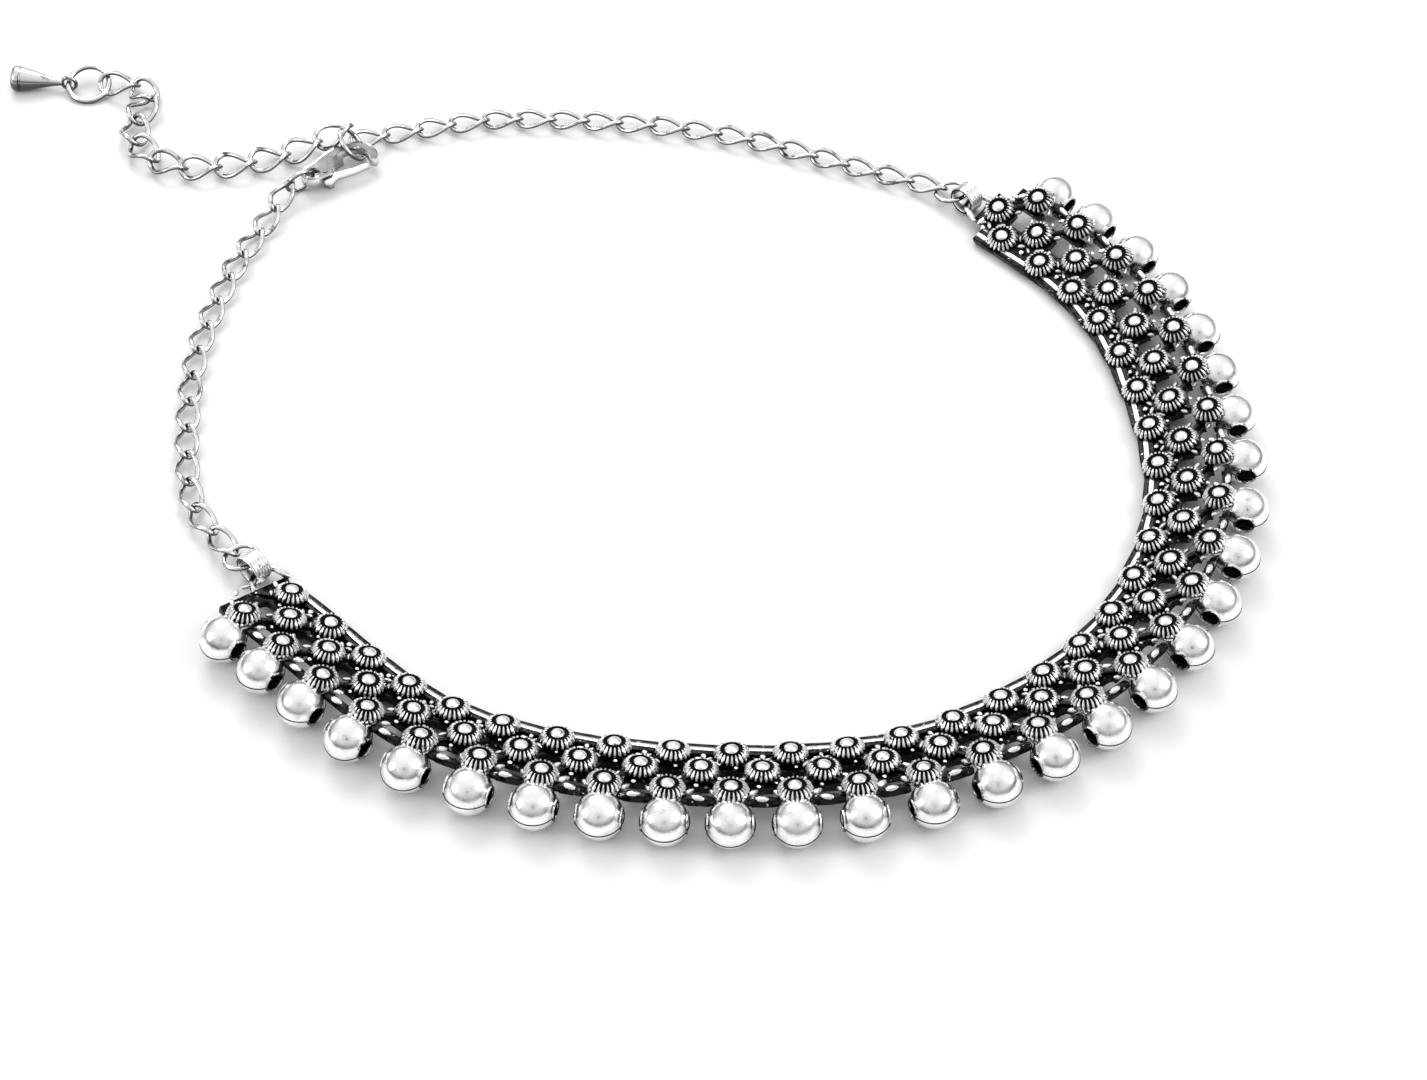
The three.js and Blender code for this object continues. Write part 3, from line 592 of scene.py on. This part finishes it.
def makeTrim():
    bm = bmesh.new()
    top = band["thickness"]
    bar, bump = trim["bar"], trim["bump"]
    for k in range(band["columns"]):
        last = k == band["columns"] - 1
        cords = [c for c in trim["cords"] if not (last and c[0] > 3 and c[1] > 3)]
        for along, across, turn, length, width in cords:
            if last and along > 3:
                along, length = along - length / 4, length / 2
            spin = Matrix.Rotation(math.radians(-turn), 4, "Z")
            size = Matrix.Diagonal((length, width, trim["cordHeight"], 1))
            place = bandPlace(k, along, across, top + trim["cordLift"])
            stamp(bm, barShape, place @ spin @ size, dark)
        for along, across, turn, length, width in trim["pills"]:
            place = bandPlace(k, along + random.uniform(-0.12, 0.12), across, top + trim["pillLift"])
            spin = Matrix.Rotation(math.radians(-turn + random.uniform(-10, 10)), 4, "Z")
            grow = random.uniform(0.85, 1.15)
            size = Matrix.Diagonal((length * grow, width * grow, trim["pillHeight"], 1))
            stamp(bm, pillShape, place @ spin @ size, bright)
        for along, across, radius in trim["rivets"]:
            grow = random.uniform(0.8, 1.15)
            wide = 2 * radius * grow
            size = Matrix.Diagonal((wide, wide, trim["rivetShape"] * radius, 1))
            stamp(bm, pillShape, bandPlace(k, along, across, top + trim["rivetLift"]) @ size, bright)
        length = bar["length"] / 2 if last else bar["length"]
        place = bandPlace(k, bandPitch / 2 - (length / 2 if last else 0), bar["across"], bar["lift"])
        sway = Matrix.Rotation(random.uniform(-0.05, 0.05), 4, "Z")
        size = Matrix.Diagonal((length, bar["width"], bar["height"], 1))
        stamp(bm, barShape, place @ sway @ size, bright)
        if last:
            continue
        place = bandPlace(k, bandPitch / 2, bump["across"], bump["lift"])
        spin = Matrix.Rotation(random.uniform(-0.2, 0.2), 4, "Z")
        size = Matrix.Diagonal((bump["length"], bump["width"], bump["height"], 1))
        stamp(bm, pillShape, place @ spin @ size, bright)
    for k, way in ((0, 1), (band["columns"] - 1, -1)):
        for along, across, turn, length, width in trim["ends"]:
            spin = Matrix.Rotation(math.radians(-turn * way), 4, "Z")
            size = Matrix.Diagonal((length, width, trim["endHeight"], 1))
            place = bandPlace(k, along * way, across, top + trim["endLift"])
            stamp(bm, pillShape, place @ spin @ size, bright)
    strut = trim["strut"]
    x, y, z = strut["place"]
    for lug in band["lugs"]:
        for side in (-1, 1):
            place = frameAt(lug["middle"], lug["way"]) @ Matrix.Translation((x, y * side, z))
            splay = Matrix.Rotation(-strut["splay"] * side, 4, "Z")
            stamp(bm, pillShape, place @ splay @ Matrix.Diagonal((*strut["size"], 1)), bright)
    makePiece("bandTrim", bm, bandMetals)


makeBand()
makeTrim()
print("band woven")

# ball drop: a hollow ball with a seam, hung by a grained collar under its rosette
ball = {
    "radius": 2.9, "bore": 1.2, "wall": 0.4, "bands": 20, "steps": 48,
    "seamWire": 0.16, "seamFall": 3, "seamSway": 12, "lip": 0.12, "rimRadius": 1.22,
    "rimWire": 0.32, "rimInset": 0.06, "grains": 20, "grainRadius": 1.72, "grainSize": 0.24,
    "grainLift": 0.5, "flangeRadius": 1.62, "flangeWire": 0.42, "flangeLift": 0.02,
    "collarShift": 0.55,
}


def makeBall():
    edge = math.asin(ball["bore"] / ball["radius"])
    arc = [edge + (math.pi - 2 * edge) * i / ball["bands"] for i in range(ball["bands"] + 1)]
    profile = [(ball["radius"] * math.sin(a), ball["radius"] * math.cos(a)) for a in arc]
    lipEnd = ball["radius"] * math.cos(edge) - ball["lip"]
    inner = ball["radius"] - ball["wall"]
    profile = [(ball["bore"] - ball["lip"], lipEnd)] + profile + [(ball["bore"] - ball["lip"], -lipEnd)]
    hollow = [(inner * math.sin(a), -inner * math.cos(a)) for a in arc[1:-1:2]]
    bm = lathe(profile + hollow + profile[:1], ball["steps"])
    for face in bm.faces:
        inside = face.calc_center_median().length < ball["radius"] - ball["wall"] / 2
        face.material_index = deep if inside else polished
    return template("ball", bm)


ballShape = makeBall()
seamShape = template("seam", wireRing(ball["radius"] - 0.01, ball["seamWire"], 6, 48))
grainBead = bmesh.new()
bmesh.ops.create_icosphere(grainBead, subdivisions=1, radius=ball["grainSize"])
grainShape = template("grain", grainBead)
flangeShape = template("flange", wireRing(ball["flangeRadius"], ball["flangeWire"], 8, 32))
holeRimShape = template("holeRim", wireRing(ball["rimRadius"], ball["rimWire"], 8, 28))


def makeBallDrop(k):
    bm = bmesh.new()
    tangent = (corners[k + 1] - corners[k]).normalized()
    outward = tangent.cross(up)
    centre = (corners[k] + corners[k + 1]) / 2 + outward * band["ballRow"] + up * ball["radius"]
    ballTurn = frameAt(centre, tangent) @ Matrix.Rotation(math.pi / 2, 4, "Y")
    stamp(bm, ballShape, ballTurn @ Matrix.Rotation(random.uniform(0, 6), 4, "Z"))
    fall = math.radians(ball["seamFall"] + random.uniform(-ball["seamSway"], ball["seamSway"]))
    stamp(bm, seamShape, frameAt(centre, tangent, fall), deep)
    mouth = math.sqrt(ball["radius"] ** 2 - ball["bore"] ** 2)
    for side in (-1, 1):
        place = ballTurn @ Matrix.Translation((0, 0, side * (mouth - ball["rimInset"])))
        stamp(bm, holeRimShape, place, lumpy)
    seat = bandPlace(k, 0, band["outerRow"], band["thickness"] + band["seat"])
    stamp(bm, rosetteShape, seat @ looseTurn(0.06))
    collar = seat @ Matrix.Translation((0, -ball["collarShift"], 0))
    stamp(bm, flangeShape, collar @ Matrix.Translation((0, 0, ball["flangeLift"])), lumpy)
    for i in range(ball["grains"]):
        turn = Matrix.Rotation(2 * math.pi * i / ball["grains"], 4, "Z")
        out = Matrix.Translation((ball["grainRadius"], 0, ball["grainLift"]))
        stamp(bm, grainShape, collar @ turn @ out, lumpy)
    name = f"{k + 1:02d}"
    materials = bandMetals + [metals["ballSilver"]]
    makePiece("ballDrop" + name, bm, materials, ["ball_drop_" + name])


for k in range(band["columns"]):
    makeBallDrop(k)
print("balls hung")

# curb chains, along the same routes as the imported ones
chains = [
    {
        "name": "leftChain", "node": "left_chain", "links": 15, "wire": 0.65, "width": 3.4,
        "route": [
            (-44.04, -23.8, 1.39), (-49.81, -16.5, 1.34), (-51.81, -8, 1.34),
            (-52.71, 1.5, 1.34), (-52.81, 10.5, 1.34), (-51.41, 19.8, 1.34),
            (-49.21, 29, 1.34), (-45.81, 37.4, 1.34), (-43.34, 43.94, 2.39),
        ],
    },
    {
        "name": "rightChain", "node": "right_chain", "links": 18, "wire": 0.65, "width": 3.4,
        "route": [
            (-35.42, 53.95, 1.24), (-25.51, 56.4, 1.36), (-16.11, 58.4, 1.36),
            (-6.61, 58.4, 1.36), (2.99, 57.7, 1.36), (11.99, 56.4, 1.36), (21.29, 54, 1.36),
            (29.99, 50.6, 1.36), (38.49, 47.1, 1.36), (47.65, 43.77, 1.41),
        ],
    },
    {
        "name": "extensionChain", "node": "extension_chain", "links": 11, "wire": 0.72,
        "width": 4.5,
        "route": [
            (-35.72, 54.22, 3.75), (-42.41, 51.8, 1.6), (-47.51, 49.5, 1.6),
            (-53.11, 48.2, 1.6), (-58.41, 47.8, 1.6), (-63.41, 49.8, 1.6), (-66.21, 53.5, 1.6),
            (-66.81, 58.7, 1.6), (-64.71, 64.2, 1.6), (-69.01, 66, 1.6), (-72.41, 66.2, 1.6),
        ],
    },
]
curbLink = {"twist": math.radians(-42), "rate": 1.25, "fullness": 0.9, "sections": 12, "steps": 44}


def makeLink(chain, reach):
    bm = wireRing(1, 0.2, curbLink["sections"], curbLink["steps"])
    wire = chain["wire"] / 2
    halfWidth = chain["width"] / 2 - wire
    for vert in bm.verts:
        angle = math.atan2(vert.co.y, vert.co.x)
        cos, sin = math.cos(angle), math.sin(angle)
        off = (math.hypot(vert.co.x, vert.co.y) - 1) / 0.1 * wire
        side = math.copysign(abs(sin) ** curbLink["fullness"], sin) * halfWidth
        outward = Vector((halfWidth * cos, reach * sin, 0)).normalized()
        place = Vector((reach * cos, side, vert.co.z / 0.1 * wire)) + outward * off
        share = max(-1, min(1, curbLink["rate"] * cos))
        vert.co = Matrix.Rotation(curbLink["twist"] * share, 3, "X") @ place
    return bm


def makeChain(chain):
    joints = spacedPoints(chain["route"], chain["links"])
    bm = bmesh.new()
    for a, b in zip(joints, joints[1:]):
        one = template("link", makeLink(chain, ((b - a).length + chain["wire"]) / 2))
        stamp(bm, one, frameAt((a + b) / 2, b - a))
    makePiece(chain["name"], bm, [metals["chainSilver"]], [chain["node"]], sharp=80)


for chain in chains:
    makeChain(chain)
print("chains linked")

# plain wire rings, each whole and placed as its packed one is
rings = [
    {"name": "leftJumpRing", "node": "left_jump_ring", "radius": 2.15, "wire": 0.6},
    {"name": "rightJumpRing", "node": "right_jump_ring", "radius": 2.15, "wire": 0.6},
    {"name": "claspRing", "node": "clasp_ring", "radius": 2.0, "wire": 0.6},
    {"name": "junctionRing", "node": "junction_ring", "radius": 2.45, "wire": 0.7},
    {"name": "endRing", "node": "end_ring", "radius": 2.9, "wire": 0.8},
]
for ring in rings:
    bm = bmesh.new()
    whole = template(ring["name"] + "Wire", wireRing(ring["radius"], ring["wire"], 16, 72))
    stamp(bm, whole, ringPlace(ring["node"]))
    makePiece(ring["name"], bm, [metals["chainSilver"]], [ring["node"]], sharp=80)

# ribbed rings between the band and its chains
ribbedRing = {"outer": 2.05, "bore": 1.55, "width": 2.3, "ribs": 5, "depth": 0.16, "lip": 0.12}


def makeRibbedRing(side):
    outer, bore, width = ribbedRing["outer"], ribbedRing["bore"], ribbedRing["width"]
    lip, depth = ribbedRing["lip"], ribbedRing["depth"]
    profile = [(bore, -width / 2 + lip), (bore + lip, -width / 2), (outer - lip, -width / 2)]
    ribPitch = (width - 2 * lip) / ribbedRing["ribs"]
    for i in range(ribbedRing["ribs"]):
        start = -width / 2 + lip + i * ribPitch
        profile += [(outer - depth, start), (outer, start + 0.3 * ribPitch)]
        profile += [(outer, start + 0.7 * ribPitch)]
    profile += [(outer - depth, width / 2 - lip), (outer - lip, width / 2)]
    profile += [(bore + lip, width / 2), (bore, width / 2 - lip), (bore, -width / 2 + lip)]
    tube = lathe(profile, 64, bright)
    for face in tube.faces:
        reach = face.calc_center_median().xy.length
        face.material_index = dark if bore + lip < reach < outer - 0.9 * depth else bright
    node = side + "_ribbed_ring"
    bm = bmesh.new()
    stamp(bm, template(side + "Ribbed", tube), ringPlace(node))
    makePiece(side + "RibbedRing", bm, bandMetals, [node], sharp=50)


makeRibbedRing("left")
makeRibbedRing("right")
print("rings closed")

# lobster clasp, drawn from its tail to its hook
clasp = {
    "place": (-41.605, 44.596, 0), "turn": 33.8, "thickness": 2.8, "thin": 1.4,
    "tailRadius": 1.6, "eye": 1.0, "bodyFrom": 3.2, "bodyTo": 7.3, "bevel": 0.12, "rim": 0.14,
    "sunk": 0.14, "rivetInset": 0.06,
    "curves": [
        (3.2, 1.6, 4.6, 3, 7.4, 3), (9.9, 3, 11.4, 1.6, 11.4, -0.3),
        (11.4, -1.3, 11.1, -1.9, 10.5, -2.4), (10.2, -2.4, 9.9, -2.1, 9.75, -1.75),
        (10.1, -1, 10.1, -0.2, 10.1, 0.1), (10, 1.2, 9, 1.75, 7.6, 1.75),
        (6.2, 1.75, 5.2, 1, 4.9, -0.1),
    ],
    "heel": (3.9, -1.6),
}
lever = {
    "hinge": (3.3, -0.55), "eye": 0.95, "pin": 0.4, "middle": 1.8, "thickness": 0.7,
    "outline": [
        (2.35, -2.2), (3, -2.7), (4.4, -2.1), (7, -2.45), (9.22, -2.38), (9.41, -1.6),
        (7, -1.45), (4.9, -1),
    ],
    "slot": (2.05, 5.7), "slotTo": 1.0, "slotGap": 0.3, "bevel": 0.12,
}
claspPlace = Matrix.Translation(clasp["place"]) @ Matrix.Rotation(math.radians(clasp["turn"]), 4, "Z")


def bezier(start, curve, steps=8):
    a, b, c, d = (Vector(p) for p in (start, curve[:2], curve[2:4], curve[4:]))
    shares = [i / steps for i in range(1, steps + 1)]
    return [a * (1 - t)**3 + 3 * b * t * (1 - t)**2 + 3 * c * t * t * (1 - t) + d * t**3 for t in shares]


def arc(middle, radius, start, end, steps):
    angles = [math.radians(start + (end - start) * i / steps) for i in range(steps + 1)]
    return [Vector((middle[0] + radius * math.cos(a), middle[1] + radius * math.sin(a))) for a in angles]


def slab(outline, low, high):
    bm = bmesh.new()
    face = bm.faces.new([bm.verts.new((p[0], p[1], low)) for p in outline])
    grown = bmesh.ops.extrude_face_region(bm, geom=[face])["geom"]
    risen = [g for g in grown if isinstance(g, bmesh.types.BMVert)]
    bmesh.ops.translate(bm, vec=(0, 0, high - low), verts=risen)
    bmesh.ops.recalc_face_normals(bm, faces=bm.faces)
    return bm


def boxAt(x, y, z):
    bm = bmesh.new()
    bmesh.ops.create_cube(bm, size=1)
    bmesh.ops.scale(bm, vec=(x[1] - x[0], y[1] - y[0], z[1] - z[0]), verts=bm.verts)
    bmesh.ops.translate(bm, vec=(sum(x) / 2, sum(y) / 2, sum(z) / 2), verts=bm.verts)
    return bm


def softenEdges(bm, width):
    bmesh.ops.dissolve_limit(bm, angle_limit=0.02, verts=bm.verts, edges=bm.edges)
    hard = [e for e in bm.edges if len(e.link_faces) == 2 and e.calc_face_angle(0) > 0.7]
    bmesh.ops.bevel(
        bm, geom=hard, offset=width, offset_type="OFFSET", segments=2, profile=0.5,
        affect="EDGES", clamp_overlap=True, material=-1,
    )


def makeClasp():
    tail = (clasp["tailRadius"], 0)
    outline = arc(tail, clasp["tailRadius"], -90, -270, 16)
    for curve in clasp["curves"]:
        outline += bezier(outline[-1], curve)
    outline.append(Vector(clasp["heel"]))
    bm = slab(outline, 0, clasp["thickness"])
    far = 20
    low, high = (lever["middle"] + s * (lever["thickness"] / 2 + lever["slotGap"]) for s in (-1, 1))
    eye = bmesh.new()
    bmesh.ops.create_cone(
        eye, cap_ends=True, segments=32, radius1=clasp["eye"], radius2=clasp["eye"], depth=far,
        matrix=Matrix.Translation((tail[0], 0, 0)),
    )
    tools = [
        boxAt((-far, clasp["bodyFrom"]), (-far, far), (-far, clasp["thin"])),
        boxAt((clasp["bodyTo"], far), (-far, far), (-far, clasp["thin"])),
        boxAt(lever["slot"], (-far, lever["slotTo"]), (low, high)),
        eye,
    ]
    cut = cutAway(bm, tools)
    softenEdges(cut, clasp["bevel"])
    nearTop = clasp["thickness"] - 0.1
    faces = [f for f in cut.faces if f.normal.z > 0.99 and f.calc_center_median().z > nearTop]
    bmesh.ops.inset_region(
        cut, faces=faces, thickness=clasp["rim"], depth=-clasp["sunk"], use_even_offset=True,
    )
    shaded = 1  # material slot of the sunk face and the rivet
    for face in faces:
        face.material_index = shaded
    rivet = bmesh.new()
    bmesh.ops.create_cone(
        rivet, cap_ends=True, segments=24, radius1=lever["pin"], radius2=lever["pin"],
        depth=clasp["thickness"] - clasp["rivetInset"],
        matrix=Matrix.Translation((*lever["hinge"], clasp["thickness"] / 2)),
    )
    whole = bmesh.new()
    stamp(whole, template("claspPlate", cut), claspPlace)
    stamp(whole, template("claspRivet", rivet), claspPlace, shaded)
    finish = [metals["claspSilver"], metals["shadedSilver"]]
    makePiece("claspBody", whole, finish, ["clasp_body"], sharp=35)


def makeLever():
    outline = arc(lever["hinge"], lever["eye"], 90, 180, 8)
    outline += [Vector(p) for p in lever["outline"]]
    half = lever["thickness"] / 2
    bm = slab(outline, lever["middle"] - half, lever["middle"] + half)
    softenEdges(bm, lever["bevel"])
    whole = bmesh.new()
    stamp(whole, template("leverBlade", bm), claspPlace)
    makePiece("claspLever", whole, [metals["claspSilver"]], ["clasp_lever"], "lever", 35)


makeClasp()
makeLever()
print("clasp shut")

# end drop: a slim trumpet on its own eye
drop = {
    "eyeAt": (-77.361, 66.487, 1.275), "direction": (-0.9983, 0.0587, 0.0747),
    "eye": 1.0, "eyeWire": 0.55,
    "profile": [
        (0, 0.85), (0.42, 0.95), (0.5, 1.4), (0.64, 2.2), (0.9, 3.3), (1.2, 4.5), (1.48, 5.6),
        (1.66, 6.4), (1.74, 6.75), (1.64, 6.84), (1.64, 7.0), (1.84, 7.1), (1.9, 7.4),
        (1.84, 7.8), (1.6, 8.12), (1.1, 8.33), (0.5, 8.4), (0, 8.41),
    ],
}


def makeDrop():
    place = frameAt(drop["eyeAt"], drop["direction"])
    bm = bmesh.new()
    trumpet = template("trumpet", lathe(drop["profile"], 48))
    stamp(bm, trumpet, place @ Matrix.Rotation(math.pi / 2, 4, "Y"))
    eye = template("dropEye", wireRing(drop["eye"], drop["eyeWire"], 12, 40))
    stamp(bm, eye, place @ Matrix.Rotation(math.pi / 2, 4, "X"))
    makePiece("endDrop", bm, [metals["chainSilver"]], ["end_drop"], sharp=50)


makeDrop()
print("drop hung")

# pale floor
floor = {"size": 4.0, "colour": (0.93, 0.93, 0.935), "rough": 0.55}


def makeFloor():
    bm = bmesh.new()
    bmesh.ops.create_grid(bm, x_segments=2, y_segments=2, size=floor["size"] / 2)
    mesh = template("floor", bm)
    material = bpy.data.materials.new("paleFloor")
    material.use_nodes = True
    shader = material.node_tree.nodes["Principled BSDF"]
    shader.inputs["Base Color"].default_value = (*floor["colour"], 1)
    shader.inputs["Roughness"].default_value = floor["rough"]
    shader.inputs["Specular IOR Level"].default_value = 0.2
    mesh.materials.append(material)
    ob = bpy.data.objects.new("floor", mesh)
    bpy.context.collection.objects.link(ob)


makeFloor()
for mesh in [m for m in bpy.data.meshes if m.users == 0]:
    bpy.data.meshes.remove(mesh)
print("floor laid")
